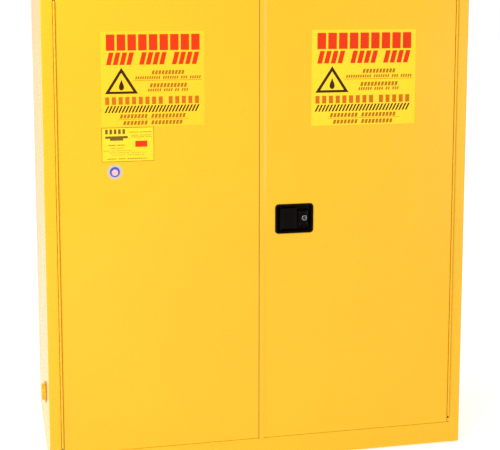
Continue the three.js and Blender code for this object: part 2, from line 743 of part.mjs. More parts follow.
// The paddle: a plate with a barrel at its left edge and a raised grip along its right edge.
function paddle() {
  const plateZ = [HANDLE.z - 36, HANDLE.z + 36];
  const grip = { x: 117, y: FRONT - 0.5 };
  const plate = block([PADDLE_AXIS.x, grip.x + 2], [FRONT + 1.5, FRONT + 5.5], plateZ);
  const barrel = bar("z", 4.6, plateZ, [PADDLE_AXIS.x, PADDLE_AXIS.y], 16);
  const ridge = bar("z", 4.2, plateZ, [grip.x, grip.y], 16);
  const web = block([grip.x - 4.2, grip.x + 4.2], [grip.y, FRONT + 5.5], plateZ);
  const bore = bar(
    "z",
    PADDLE_PIN + 0.3,
    [plateZ[0] - 1, plateZ[1] + 1],
    [PADDLE_AXIS.x, PADDLE_AXIS.y],
    12,
  );
  const finger = block(FINGER.x, [FRONT + 5, FRONT + TUB_DEPTH + 3], FINGER.z);
  return cut(joined([plate, barrel, ridge, web, finger]), [bore]);
}
place("paddle", paddle(), BLACK);
place(
  "paddle_pin",
  bar("z", PADDLE_PIN, [pocketZ[0] - 6, pocketZ[1] + 6], [PADDLE_AXIS.x, PADDLE_AXIS.y], 12),
  BRIGHT_STEEL,
);

// ---------------------------------------------------------------- lock

const PLUG_RADIUS = 6.8;
place(
  "lock_body",
  cut(
    joined([
      bar("y", 9.4, [FRONT + 1, FRONT + TUB_DEPTH + 4], [LOCK.x, LOCK.z], 24),
      bar("y", 10.6, [FRONT, FRONT + 1.7], [LOCK.x, LOCK.z], 24),
    ]),
    [bar("y", PLUG_RADIUS + 0.3, [FRONT - 2, FRONT + 40], [LOCK.x, LOCK.z], 24)],
  ),
  CHROME,
);
place(
  "lock_plug",
  cut(
    joined([
      bar("y", PLUG_RADIUS, [FRONT - 0.3, FRONT + TUB_DEPTH + 5], [LOCK.x, LOCK.z], 24),
      block(
        [LOCK.x - 4, LOCK.x + 4],
        [FRONT + TUB_DEPTH + 4.5, FRONT + TUB_DEPTH + 7],
        [LOCK.z - 4, LOCK.z + 13],
      ),
    ]),
    [
      block(
        [LOCK.x - 0.9, LOCK.x + 0.9],
        [FRONT - 2, FRONT + 12],
        [LOCK.z - 4, LOCK.z + 4],
      ),
    ],
  ),
  CHROME,
);

// ---------------------------------------------------------------- latch hub, rods and bolt

const HUB_Y = [FRONT + TUB_DEPTH + 1, FRONT + TUB_DEPTH + 4];
const PLATE = 3;
const rodPlateY = [LATCH_Y - PLATE / 2, LATCH_Y + PLATE / 2];
const strapY = [rodPlateY[1] + 1, rodPlateY[1] + 1 + PLATE]; // the bolt's strap passes behind the rods
const DRIVE_PIN = 3;
const PLATE_HALF = 7.5; // of a rod's plate
const PLATE_REACH = 50; // from its drive pin

// The drive pins, as [x, z], for the upper rod, the lower rod and the bolt.
const upperPin = [HUB.x + armLong, HUB.z + armShort];
const lowerPin = [HUB.x - armLong, HUB.z - armShort];
const boltPin = [HUB.x - armShort, HUB.z + armLong];
const drivePin = (at, end) => bar("y", DRIVE_PIN, [HUB_Y[0] + 1, end], at, 12);
place(
  "latch_hub",
  joined([
    bar("y", PIN_ARM + 6, HUB_Y, [HUB.x, HUB.z], 24),
    drivePin(upperPin, rodPlateY[1] + 0.8),
    drivePin(lowerPin, rodPlateY[1] + 0.8),
    drivePin(boltPin, strapY[1] + 0.8),
  ]),
  GALVANISED,
);

// The slot in a rod or bolt that takes a drive pin. along is the slot's long direction.
function pinSlot([x, z], along) {
  const wide = DRIVE_PIN + 2.2;
  const tight = DRIVE_PIN + 0.5;
  const [dx, dz] = along === "x" ? [wide, tight] : [tight, wide];
  return block([x - dx, x + dx], [rodPlateY[0] - 1, strapY[1] + 1], [z - dz, z + dz]);
}

// A rod: a round bar out through the door's edge, and a slotted plate at the hub. end is 1 or -1.
function latchRod(end) {
  const [x, z] = end > 0 ? upperPin : lowerPin;
  const span = (from, to) => [Math.min(from, to), Math.max(from, to)];
  const tip = end > 0 ? DOOR_HIGH + ROD_REACH : DOOR_LOW - ROD_REACH;
  const round = bar("z", ROD_RADIUS, span(z + end * (PLATE_REACH - 6), tip), [x, LATCH_Y], 12);
  const plateX = [x - PLATE_HALF, x + PLATE_HALF];
  const plate = block(plateX, rodPlateY, span(z - end * 8, z + end * PLATE_REACH));
  return cut(joined([round, plate]), [pinSlot([x, z], "x")]);
}
place("upper_rod", latchRod(1), BRIGHT_STEEL);
place("lower_rod", latchRod(-1), BRIGHT_STEEL);

// A guide block for a rod, just inside the door's edge.
function rodGuide(end) {
  const x = end > 0 ? UPPER_X : LOWER_X;
  const z = end > 0 ? [DOOR_HIGH - 30, DOOR_HIGH - 16] : [DOOR_LOW + 16, DOOR_LOW + 30];
  const body = block([x - 14, x + 14], [FRONT + SHEET + GAP, DOOR_BACK - SHEET - 0.6], z);
  return cut(body, [bar("z", ROD_RADIUS + 0.35, [z[0] - 1, z[1] + 1], [x, LATCH_Y], 16)]);
}
place("upper_rod_guide", rodGuide(1), NYLON);
place("lower_rod_guide", rodGuide(-1), NYLON);

function centreBolt() {
  const [x, z] = boltPin;
  const tip = LEFT_FREE - 10;
  const nose = block([tip, 30], [LATCH_Y - 3, LATCH_Y + 3], [z - BOLT_HALF, z + BOLT_HALF]);
  const strap = block([20, x + 8], strapY, [z - 8, z + 8]);
  return cut(joined([nose, strap]), [pinSlot([x, z], "z")]);
}
place("centre_bolt", centreBolt(), BRIGHT_STEEL);

export default cabinet;
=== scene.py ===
# The looks of the flammable storage cabinet, in metres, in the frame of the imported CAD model.
import json
import math

import bmesh
import bpy
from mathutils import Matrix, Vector


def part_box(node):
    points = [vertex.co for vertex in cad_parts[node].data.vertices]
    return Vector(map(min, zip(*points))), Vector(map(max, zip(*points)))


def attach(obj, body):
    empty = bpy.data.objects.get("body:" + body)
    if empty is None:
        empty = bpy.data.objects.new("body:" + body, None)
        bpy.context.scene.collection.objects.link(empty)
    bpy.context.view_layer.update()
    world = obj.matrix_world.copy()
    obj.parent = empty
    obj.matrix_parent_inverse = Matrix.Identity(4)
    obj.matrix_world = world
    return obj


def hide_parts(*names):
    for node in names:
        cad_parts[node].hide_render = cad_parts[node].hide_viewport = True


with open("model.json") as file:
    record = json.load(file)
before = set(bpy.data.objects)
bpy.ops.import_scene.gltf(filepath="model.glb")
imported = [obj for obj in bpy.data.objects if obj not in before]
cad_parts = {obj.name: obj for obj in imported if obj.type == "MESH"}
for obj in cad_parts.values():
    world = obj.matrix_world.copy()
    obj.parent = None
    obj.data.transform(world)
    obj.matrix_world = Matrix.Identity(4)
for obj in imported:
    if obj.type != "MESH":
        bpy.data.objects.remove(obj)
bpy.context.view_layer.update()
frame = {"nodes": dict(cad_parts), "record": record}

MM = 0.001
NODES = frame["nodes"]

# ---------------------------------------------------------------- places from the frame

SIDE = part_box("outer_right_side")[1].x
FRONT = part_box("left_door_outer")[0].y
DOORS = {"left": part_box("left_door_outer"), "right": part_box("right_door_outer")}
INWARD = {"left": 1, "right": -1}  # the direction of +X or -X that points into the cabinet


def middle(node):
    low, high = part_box(node)
    return (low + high) / 2


# ---------------------------------------------------------------- materials


class Nodes:
    """A material's node tree, with short calls for the few nodes that this scene uses."""

    def __init__(self, name, **inputs):
        self.material = bpy.data.materials.new(name)
        self.material.use_nodes = True
        self.tree = self.material.node_tree
        self.shader = self.tree.nodes["Principled BSDF"]
        for socket, value in inputs.items():
            self.shader.inputs[socket.replace("_", " ")].default_value = value
        self.place = self.add("ShaderNodeTexCoord").outputs["Object"]

    def add(self, kind, links=(), **values):
        node = self.tree.nodes.new(kind)
        for key, value in values.items():
            if key in node.inputs:
                node.inputs[key].default_value = value
            else:
                setattr(node, key, value)
        for source, socket in links:
            self.tree.links.new(source, node.inputs[socket])
        return node

    def set(self, source, socket):
        self.tree.links.new(source, self.shader.inputs[socket])

    def noise(self, scale, detail=2.0, stretch=(1, 1, 1)):
        moved = self.add("ShaderNodeMapping", [(self.place, "Vector")], Scale=stretch)
        made = self.add(
            "ShaderNodeTexNoise", [(moved.outputs[0], "Vector")], Scale=scale, Detail=detail
        )
        return made.outputs["Fac"]

    def ramp(self, source, low, high, span=(0.3, 0.7)):
        made = self.add("ShaderNodeValToRGB", [(source, "Fac")])
        for stop, place, value in zip(made.color_ramp.elements, span, (low, high)):
            stop.position = place
            stop.color = value if hasattr(value, "__len__") else (value, value, value, 1)
        return made.outputs["Color"]

    def bump(self, *layers):
        """Layers of (height, depth in metres), the coarsest first."""
        normal = None
        for height, depth in layers:
            links = [(height, "Height")] + ([(normal, "Normal")] if normal else [])
            normal = self.add("ShaderNodeBump", links, Strength=1.0, Distance=depth).outputs[0]
        self.set(normal, "Normal")


def tint(colour, factor):
    return tuple(min(1.0, part * factor) for part in colour[:3]) + (1,)


def powder_coat():
    """Glossy baked powder coat: a fine orange peel over sheet that isn't quite flat."""
    n = Nodes(
        "yellow_powder_coat", Coat_Weight=0.12, Coat_Roughness=0.10, Specular_IOR_Level=0.24
    )
    colour = (0.70, 0.370, 0.006, 1)
    n.set(n.ramp(n.noise(1.7), tint(colour, 0.975), tint(colour, 1.025)), "Base Color")
    n.set(n.ramp(n.noise(240, 3), 0.23, 0.33), "Roughness")
    n.bump((n.noise(2.2, 1), 0.0009), (n.noise(520, 2), 0.000006))
    return n.material


def galvanised():
    """Zinc-coated sheet with a soft spangle."""
    n = Nodes("galvanised_steel", Metallic=0.9)
    cells = n.add("ShaderNodeTexVoronoi", [(n.place, "Vector")], Scale=130.0)
    spangle = n.ramp(cells.outputs["Color"], (0.50, 0.52, 0.54, 1), (0.60, 0.62, 0.64, 1))
    n.set(spangle, "Base Color")
    n.set(n.ramp(n.noise(60, 3), 0.34, 0.52), "Roughness")
    n.bump((n.noise(3, 1), 0.001), (n.noise(700, 2), 0.00002))
    return n.material


def bright_steel():
    """Turned and zinc-plated steel, with fine lines round and along it."""
    n = Nodes("bright_steel", Metallic=1.0)
    n.set(n.ramp(n.noise(12, 4), (0.52, 0.52, 0.50, 1), (0.70, 0.70, 0.68, 1)), "Base Color")
    n.set(n.ramp(n.noise(40, 4, (12, 1, 12)), 0.22, 0.40), "Roughness")
    n.bump((n.noise(900, 2, (4, 1, 1)), 0.00001))
    return n.material


def chrome(name, shade):
    """Polished chrome, more or less dark, with fine wear."""
    n = Nodes(name, Metallic=1.0)
    pair = [(shade * k, shade * k, shade * k * 1.02, 1) for k in (0.85, 1.15)]
    n.set(n.ramp(n.noise(90), *pair), "Base Color")
    n.set(n.ramp(n.noise(300, 3), 0.08, 0.22), "Roughness")
    return n.material


def black_coat():
    """Satin black paint on the pressed steel of the handle, finely textured."""
    n = Nodes("black_handle", Specular_IOR_Level=0.035)
    dark, pale = (0.0014, 0.0007, 0.0003, 1), (0.0024, 0.0013, 0.0006, 1)
    n.set(n.ramp(n.noise(25, 4), dark, pale), "Base Color")
    n.set(n.ramp(n.noise(180, 3), 0.26, 0.38), "Roughness")
    n.bump((n.noise(1100, 2), 0.00003))
    return n.material


def nylon():
    """Black moulded plastic and rubber, slightly rough."""
    n = Nodes("black_nylon")
    n.set(n.ramp(n.noise(60), (0.02, 0.02, 0.02, 1), (0.035, 0.035, 0.035, 1)), "Base Color")
    n.set(n.ramp(n.noise(200, 3), 0.45, 0.6), "Roughness")
    n.bump((n.noise(800), 0.00002))
    return n.material


def brass():
    """Dull brass; on the flame arresters the fine weave of the gauze shows."""
    n = Nodes("brass", Metallic=1.0)
    n.set(n.ramp(n.noise(30, 4), (0.46, 0.30, 0.11, 1), (0.68, 0.48, 0.21, 1)), "Base Color")
    n.set(n.ramp(n.noise(150, 3), 0.25, 0.45), "Roughness")
    wires = [
        n.add(
            "ShaderNodeTexWave", [(n.place, "Vector")], bands_direction=direction, Scale=260.0
        ).outputs["Fac"]
        for direction in ("Y", "Z")
    ]
    weave = n.add("ShaderNodeMath", [(wires[0], 0), (wires[1], 1)], operation="MULTIPLY")
    n.bump((weave.outputs[0], 0.0002))
    return n.material


def print_ink(name, colour, roughness=0.42):
    """Ink or film of a label: nearly flat, a little mottled."""
    n = Nodes(name, Specular_IOR_Level=0.07)
    n.set(n.ramp(n.noise(140, 3), tint(colour, 0.94), tint(colour, 1.06)), "Base Color")
    n.set(n.ramp(n.noise(400, 2), roughness - 0.06, roughness + 0.06), "Roughness")
    n.bump((n.noise(14, 1), 0.0002))
    return n.material


YELLOW = powder_coat()
SLOT_MATERIALS = {
    "yellow_powder_coat": YELLOW,
    "galvanised_steel": galvanised(),
    "bright_steel": bright_steel(),
    "lock_chrome": chrome("lock_chrome", 0.34),
    "black_handle": black_coat(),
    "black_nylon": nylon(),
    "brass": brass(),
}
# The plug's chrome is a much darker copy of the ring's: painted shade for the dark middle of the
# lock. The handle's rivets use it too.
SHADED_PLUG_CHROME = chrome("lock_plug_shaded_chrome", 0.07)
LABEL_FILM = print_ink("label_film", (0.74, 0.440, 0.018))
LABEL_FILM_PALE = print_ink("label_film_pale", (0.78, 0.500, 0.022))
LABEL_RED = print_ink("label_red", (0.58, 0.030, 0.004))
LABEL_ORANGE = print_ink("label_orange", (0.46, 0.115, 0.006))
LABEL_BROWN = print_ink("label_brown", (0.34, 0.125, 0.006))
LABEL_BLACK = print_ink("label_black", (0.032, 0.014, 0.001))
LABEL_GREY = print_ink("label_grey", (0.13, 0.085, 0.012))
STICKER_SILVER = print_ink("sticker_silver", (0.42, 0.37, 0.33), 0.3)
STICKER_BLUE = print_ink("sticker_blue", (0.045, 0.075, 0.35))
STICKER_PINK = print_ink("sticker_pink", (0.75, 0.36, 0.36))

# ---------------------------------------------------------------- mesh work

# For each axis, the two directions across it and the axis itself, right-handed.
ALONG = {
    "x": (Vector((0, 1, 0)), Vector((0, 0, 1)), Vector((1, 0, 0))),
    "y": (Vector((0, 0, 1)), Vector((1, 0, 0)), Vector((0, 1, 0))),
    "z": (Vector((1, 0, 0)), Vector((0, 1, 0)), Vector((0, 0, 1))),
}


def ring(bm, axis, points, at):
    u, v, w = ALONG[axis]
    return [bm.verts.new(u * a + v * b + w * at) for a, b in points]


def bridge(bm, one, other, slot=0):
    count = len(one)
    for i in range(count):
        face = bm.faces.new((one[i], one[(i + 1) % count], other[(i + 1) % count], other[i]))
        face.material_index = slot


def prism(bm, axis, outline, low, high, slot=0):
    """A closed solid: an outline across the axis, between two places on it."""
    first = ring(bm, axis, outline, low)
    last = ring(bm, axis, outline, high)
    bm.faces.new(first).material_index = slot
    bm.faces.new(last).material_index = slot
    bridge(bm, first, last, slot)


def stack(bm, axis, rings, slot=0):
    """A closed solid through rings of equal length, each given as (outline, place on the axis)."""
    made = [ring(bm, axis, outline, at) for outline, at in rings]
    bm.faces.new(made[0]).material_index = slot
    bm.faces.new(made[-1]).material_index = slot
    for one, other in zip(made, made[1:]):
        bridge(bm, one, other, slot)


def circle(radius, centre=(0, 0), count=48):
    return [
        (
            centre[0] + radius * math.cos(2 * math.pi * i / count),
            centre[1] + radius * math.sin(2 * math.pi * i / count),
        )
        for i in range(count)
    ]


def turned(bm, axis, centre, profile, count=48, closed=False, slot=0):
    """A turned solid. Its profile holds (place on the axis, radius), closed for a ring."""
    if closed:
        made = [ring(bm, axis, circle(radius, centre, count), at) for at, radius in profile]
        for one, other in zip(made, made[1:] + made[:1]):
            bridge(bm, one, other, slot)
        return
    stack(bm, axis, [(circle(radius, centre, count), at) for at, radius in profile], slot)


def block(bm, low, high, slot=0):
    outline = [(low[0], low[1]), (high[0], low[1]), (high[0], high[1]), (low[0], high[1])]
    prism(bm, "z", outline, low[2], high[2], slot)


def round_rectangle(x, z, width, height, corner, steps=6):
    """An outline on the front, as the (z, x) pairs that the y axis takes."""
    corners = [(1, 1, 0), (-1, 1, 1), (-1, -1, 2), (1, -1, 3)]
    points = []
    for sx, sz, quarter in corners:
        for k in range(steps + 1):
            angle = math.pi / 2 * (quarter + k / steps)
            px = x + sx * (width / 2 - corner) + corner * math.cos(angle)
            pz = z + sz * (height / 2 - corner) + corner * math.sin(angle)
            points.append((pz, px))
    return points


def make(name, bm, body, materials, stands_for=(), soften=0.0, sharp=35):
    """Turns bm into a piece that rides on a body, with smooth faces up to an angle in degrees."""
    bmesh.ops.remove_doubles(bm, verts=bm.verts, dist=1e-7)
    bmesh.ops.recalc_face_normals(bm, faces=bm.faces)
    mesh = bpy.data.meshes.new(name)
    bm.to_mesh(mesh)
    bm.free()
    for polygon in mesh.polygons:
        polygon.use_smooth = True
    mesh.set_sharp_from_angle(angle=math.radians(sharp))
    for material in materials:
        mesh.materials.append(material)
    piece = bpy.data.objects.new(name, mesh)
    bpy.context.scene.collection.objects.link(piece)
    if soften:
        bevel(piece, soften)
    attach(piece, body)
    if stands_for:
        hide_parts(*stands_for)
    return piece


def bevel(piece, width):
    """Rounds a piece's sharp edges, and keeps its flat faces flat in the light."""
    edge = piece.modifiers.new("edge", "BEVEL")
    edge.width = width
    edge.segments = 2
    edge.limit_method = "ANGLE"
    edge.angle_limit = math.radians(40)
    flat = piece.modifiers.new("flat", "WEIGHTED_NORMAL")
    flat.weight = 100


def studs(name, body, places, axis, out, radius, height, material):
    """Low domes on a flat face. out is +1 or -1 along the axis."""
    sunk, steps = 0.3 * MM, 4
    bm = bmesh.new()
    for across, at in places:
        profile = [(at - out * sunk, radius)]
        for k in range(steps + 1):
            angle = math.pi / 2 * k / steps
            rise = height * math.sin(angle)
            profile.append((at + out * rise, max(radius * math.cos(angle), radius * 0.05)))
        turned(bm, axis, across, profile, 16)
    make(name, bm, body, [material], sharp=60)


def evenly(low, high, pitch):
    """Places from low to high, in equal steps as near to the pitch as they can be."""
    count = max(1, round((high - low) / pitch))
    return [low + (high - low) * i / count for i in range(count + 1)]


# ---------------------------------------------------------------- finish of the CAD nodes

EDGE_ROUNDING = {"lock_chrome": 0.25 * MM, "black_handle": 0.4 * MM}
for part in frame["record"]["subparts"]:
    node = NODES[part["node"]]
    node.data.materials.clear()
    node.data.materials.append(SLOT_MATERIALS[part["material_slot"]])
    for polygon in node.data.polygons:
        polygon.use_smooth = True
    weld = node.modifiers.new("weld", "WELD")
    weld.merge_threshold = 1e-5
    planar = node.modifiers.new("planar", "DECIMATE")
    planar.decimate_type = "DISSOLVE"
    planar.angle_limit = math.radians(0.5)
    bevel(node, EDGE_ROUNDING.get(part["material_slot"], 0.35 * MM))

NODES["lock_plug"].data.materials[0] = SHADED_PLUG_CHROME

# ---------------------------------------------------------------- hinges

KNUCKLE_PITCH = 25.05 * MM
KNUCKLE_GAP = 0.5 * MM
KNUCKLE_EDGE = 0.4 * MM  # the bevel at each end of a knuckle
KNUCKLE_SHIFT = 0.45 * MM  # the knuckles stand a little nearer the door than the frame
LEAF = 1.5 * MM

TAB_NOTCH = 9 * MM  # left open between the hinge's end and the tab
TAB_TO_FRAME, TAB_TO_DOOR = 3.7 * MM, 3.2 * MM  # from the pin's axis
TAB_SUNK, TAB_DEPTH = 0.3 * MM, 12 * MM  # behind the doors' front

STILE = 39 * MM  # the width of the front stiles beside the rails
WELD_ON_STILE, WELD_ON_RAIL = 2.6 * MM, 0.5 * MM  # to each side of the joint
WELD_SUNK, WELD_DEPTH = 0.006 * MM, 0.9 * MM  # behind the front


def hinge_leaf(side, part, first, body):
    """A piano hinge's leaf: a plate in the door gap, and every second knuckle from first."""
    low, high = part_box(f"{side}_hinge_{part}_leaf")
    pin = middle(f"{side}_hinge_pin")
    radius = pin.y - low.y
    inward = INWARD[side]
    face = pin.x - inward * radius if part == "frame" else pin.x + inward * radius
    thick = LEAF * (inward if part == "frame" else -inward)
    plate = sorted((face, face + thick))
    row = pin.x + inward * KNUCKLE_SHIFT
    bm = bmesh.new()
    block(bm, (plate[0], pin.y + radius + 0.8 * MM, low.z), (plate[1], high.y, high.z))
    count = round((high.z - low.z) / KNUCKLE_PITCH)
    for i in range(first, count, 2):
        base = low.z + i * KNUCKLE_PITCH + KNUCKLE_GAP / 2
        top = base + KNUCKLE_PITCH - KNUCKLE_GAP
        narrow = radius - KNUCKLE_EDGE
        profile = [(base, narrow), (base + KNUCKLE_EDGE, radius)]
        profile += [(top - KNUCKLE_EDGE, radius), (top, narrow)]
        turned(bm, "z", (row, pin.y), profile, 24)
        block(bm, (plate[0], pin.y, base), (plate[1], pin.y + radius + 1 * MM, top))
    name = f"{side}_piano_hinge_{part}"
    make(name, bm, body, [YELLOW], [f"{side}_hinge_{part}_leaf"])


def gap_tabs(side):
    """Small tabs on the frame that close the door gap past both ends of the hinge."""
    low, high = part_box(f"{side}_hinge_frame_leaf")
    door_low, door_high = DOORS["left"]
    pin = middle(f"{side}_hinge_pin")
    inward = INWARD[side]
    x = sorted((pin.x - inward * TAB_TO_FRAME, pin.x + inward * TAB_TO_DOOR))
    lower = (door_low.z + 0.4 * MM, low.z - TAB_NOTCH)
    upper = (high.z + TAB_NOTCH, door_high.z)
    bm = bmesh.new()
    for z in (lower, upper):
        block(bm, (x[0], FRONT + TAB_SUNK, z[0]), (x[1], FRONT + TAB_DEPTH, z[1]))
    make(f"{side}_gap_tabs", bm, "cabinet", [YELLOW], soften=0.3 * MM)


def corner_welds():
    """The ground and painted welds between the front rails and the stiles, flush with the front."""
    door_low, door_high = DOORS["left"]
    below = (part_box("outer_bottom")[0].z + 3 * MM, door_low.z - 4 * MM)
    above = (door_high.z + 6 * MM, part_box("outer_top")[1].z - 3 * MM)
    edge = SIDE - STILE
    bm = bmesh.new()
    for z0, z1 in (below, above):
        for outward in (-1, 1):
            x = sorted((outward * (edge - WELD_ON_RAIL), outward * (edge + WELD_ON_STILE)))
            block(bm, (x[0], FRONT + WELD_SUNK, z0), (x[1], FRONT + WELD_DEPTH, z1))
    make("corner_welds", bm, "cabinet", [YELLOW])


for side in ("left", "right"):
    hinge_leaf(side, "frame", 0, "cabinet")
    hinge_leaf(side, "door", 1, f"{side}_door")
    gap_tabs(side)
corner_welds()

# ---------------------------------------------------------------- labels, all blank

FILM = 0.25 * MM  # how far a label stands out from its door
INK = 0.06 * MM  # one layer of ink


def flat(bm, points, level, slot):
    """A thin flat shape on the door: (x, z) points, and its layer above the door's face."""
    base = FRONT - FILM - level * INK + INK
    prism(bm, "y", [(z, x) for x, z in points], base - INK, base, slot)


class Sheet:
    """A label's plane: across and down from its upper left corner, each from 0 to 1."""

    def __init__(self, x, z, width, height):
        self.left = x - width / 2
        self.top = z + height / 2
        self.width = width
        self.height = height

    def at(self, across, down):
        return self.left + across * self.width, self.top - down * self.height

    def bar(self, bm, x0, x1, y0, y1, slot, lean=0.0):
        """A block from (x0, y0) to (x1, y1), leaning to the right where lean is over 0."""
        shift = lean * (y1 - y0) * self.height / self.width / 2
        corners = [(x0 - shift, y1), (x1 - shift, y1), (x1 + shift, y0), (x0 + shift, y0)]
        flat(bm, [self.at(*corner) for corner in corners], 1, slot)

    def words(self, bm, x0, x1, y0, y1, slot, counts, lean=0.0, gap=0.22, space=0.9):
        """Blank blocks in groups, as wide as lines of print would be."""
        units = sum(counts) + space * (len(counts) - 1)
        unit = (x1 - x0) / units
        x = x0
        for count in counts:
            for _ in range(count):
                self.bar(bm, x, x + unit * (1 - gap), y0, y1, slot, lean)
                x += unit
            x += unit * space


FILM_SLOT, RED, ORANGE, BROWN, BLACK, GREY = range(6)
LABEL_INKS = [LABEL_FILM, LABEL_RED, LABEL_ORANGE, LABEL_BROWN, LABEL_BLACK, LABEL_GREY]


def drop(sheet, across, down, width, height):
    """The outline of a plain drop."""
    points = []
    for i in range(24):
        angle = 2 * math.pi * i / 24
        half = width / 2 * math.sin(angle / 2) ** 1.6
        points.append((across + half * math.sin(angle), down - height / 2 * math.cos(angle)))
    return [sheet.at(*point) for point in points]


def hazard_label(name, body, film, x, z, size):
    """A blank warning sheet: rows of plain blocks, a triangle with a drop, and a hatched band."""
    sheet = Sheet(x, z, *size)
    bm = bmesh.new()
    prism(bm, "y", round_rectangle(x, z, *size, 3 * MM), FRONT - FILM, FRONT, FILM_SLOT)
    sheet.words(bm, 0.052, 0.975, 0.031, 0.200, RED, [9], 0.0, 0.2)
    sheet.words(bm, 0.065, 0.955, 0.220, 0.350, RED, [4, 4, 4], 0.25, 0.3)
    outer = [(0.195, 0.379), (0.354, 0.654), (0.036, 0.654)]
    inner = [(0.195, 0.433), (0.308, 0.629), (0.082, 0.629)]
    flat(bm, [sheet.at(*point) for point in outer], 1, BLACK)
    flat(bm, [sheet.at(*point) for point in inner], 2, FILM_SLOT)
    flat(bm, drop(sheet, 0.195, 0.560, 0.070, 0.115), 3, BLACK)
    sheet.words(bm, 0.49, 0.81, 0.412, 0.455, BROWN, [10], 0.25, 0.3)
    sheet.words(bm, 0.33, 0.97, 0.472, 0.503, BROWN, [11, 7, 3, 5], 0.25, 0.35)
    sheet.bar(bm, 0.31, 0.975, 0.514, 0.519, BROWN)
    sheet.words(bm, 0.47, 0.835, 0.548, 0.592, BROWN, [11], 0.25, 0.3)
    sheet.words(bm, 0.45, 0.845, 0.604, 0.635, BROWN, [6, 4, 2, 3], 0.25, 0.35)
    sheet.words(bm, 0.037, 0.97, 0.688, 0.768, ORANGE, [9, 5], 0.0, 0.38, 0.5)
    sheet.words(bm, 0.046, 0.952, 0.781, 0.853, BLACK, [28], 0.5, 0.52)
    sheet.words(bm, 0.18, 0.82, 0.872, 0.915, BROWN, [8, 10], 0.25, 0.3)
    sheet.bar(bm, 0.16, 0.85, 0.924, 0.928, BROWN)
    sheet.words(bm, 0.21, 0.79, 0.942, 0.985, BROWN, [7, 9], 0.25, 0.3)
    make(name, bm, body, [film] + LABEL_INKS[1:])


DOOR_LEFT_EDGE = DOORS["left"][0].x
DOOR_RIGHT_EDGE = DOORS["right"][1].x
LABEL_HEIGHT = middle("left_door_outer").z + 495 * MM

# Each label's middle lies so far in from its door's hinged edge; its size is width by height.
hazard_label("left_blank_label", "left_door", LABEL_FILM,
             DOOR_LEFT_EDGE + 315.5 * MM, LABEL_HEIGHT + 4 * MM, (344 * MM, 313 * MM))
hazard_label("right_blank_label", "right_door", LABEL_FILM_PALE,
             DOOR_RIGHT_EDGE - 334 * MM, LABEL_HEIGHT - 3.3 * MM, (373 * MM, 327 * MM))


def spec_plate():
    """The small blank plate under the left label: a thin frame, faint rows and one red shape."""
    width, height = 174 * MM, 114 * MM
    x, z = DOOR_LEFT_EDGE + 229.5 * MM, LABEL_HEIGHT - 212.5 * MM
    sheet = Sheet(x, z, width, height)
    bm = bmesh.new()
    prism(bm, "y", round_rectangle(x, z, width, height, 2 * MM), FRONT - FILM, FRONT, FILM_SLOT)
    for x0, x1, y0, y1 in (
        (0.0, 1.0, 0.0, 0.014),
        (0.0, 1.0, 0.986, 1.0),
        (0.0, 0.010, 0.016, 0.984),
        (0.990, 1.0, 0.016, 0.984),
    ):
        sheet.bar(bm, x0, x1, y0, y1, GREY)
    sheet.words(bm, 0.07, 0.48, 0.05, 0.19, GREY, [5], 0.0, 0.4)
    sheet.bar(bm, 0.07, 0.50, 0.25, 0.32, GREY)
    sheet.bar(bm, 0.16, 0.41, 0.32, 0.38, GREY)
    red = ((0.64, 0.40), (0.87, 0.40), (0.87, 0.58), (0.64, 0.58))
    flat(bm, [sheet.at(*point) for point in red], 1, RED)
    for x0, x1, y0, y1, counts in (
        (0.53, 0.96, 0.13, 0.155, [6, 8]),
        (0.57, 0.95, 0.225, 0.245, [5, 7]),
        (0.56, 0.96, 0.275, 0.295, [9, 4]),
        (0.13, 0.45, 0.50, 0.53, [5, 5]),
        (0.17, 0.43, 0.59, 0.61, [4, 6]),
        (0.04, 0.58, 0.67, 0.685, [4, 12]),
        (0.14, 0.88, 0.73, 0.745, [12, 10]),
        (0.19, 0.82, 0.795, 0.81, [8, 10]),
        (0.11, 0.88, 0.90, 0.93, [5, 4, 11]),
    ):
        sheet.words(bm, x0, x1, y0, y1, GREY, counts, 0.0, 0.35)
    inks = [LABEL_FILM_PALE] + LABEL_INKS[1:]
    make("blank_spec_plate", bm, "left_door", inks)


def round_sticker():
    """A plain round sticker: a silver ring round a two-coloured disc."""
    x, z, radius = DOOR_LEFT_EDGE + 185 * MM, LABEL_HEIGHT - 303.5 * MM, 25 * MM
    bm = bmesh.new()
    # Each disc is (radius, how far its middle lies under the sticker's).
    discs = ((radius, 0), (radius * 0.68, 0), (radius * 0.42, 2 * MM))
    for slot, (disc, lower) in enumerate(discs):
        base = FRONT - FILM - slot * INK
        stop = FRONT if slot == 0 else base + INK
        prism(bm, "y", circle(disc, (z - lower, x)), base, stop, slot)
    inks = [STICKER_SILVER, STICKER_BLUE, STICKER_PINK]
    make("round_blank_sticker", bm, "left_door", inks)


spec_plate()
round_sticker()

# ---------------------------------------------------------------- handle, lock and lip

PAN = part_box("handle_pan")
PAN_MIDDLE = (PAN[0] + PAN[1]) / 2
PAN_CORNER = 12 * MM
PAN_DEPTH = 19.2 * MM  # from the flange's front to the tub's floor
BOSS_DEPTH = 5.1 * MM  # from the flange's front to the lock's plate
BOSS_LEFT = 4 * MM  # how far the plate's middle lies left of the lock


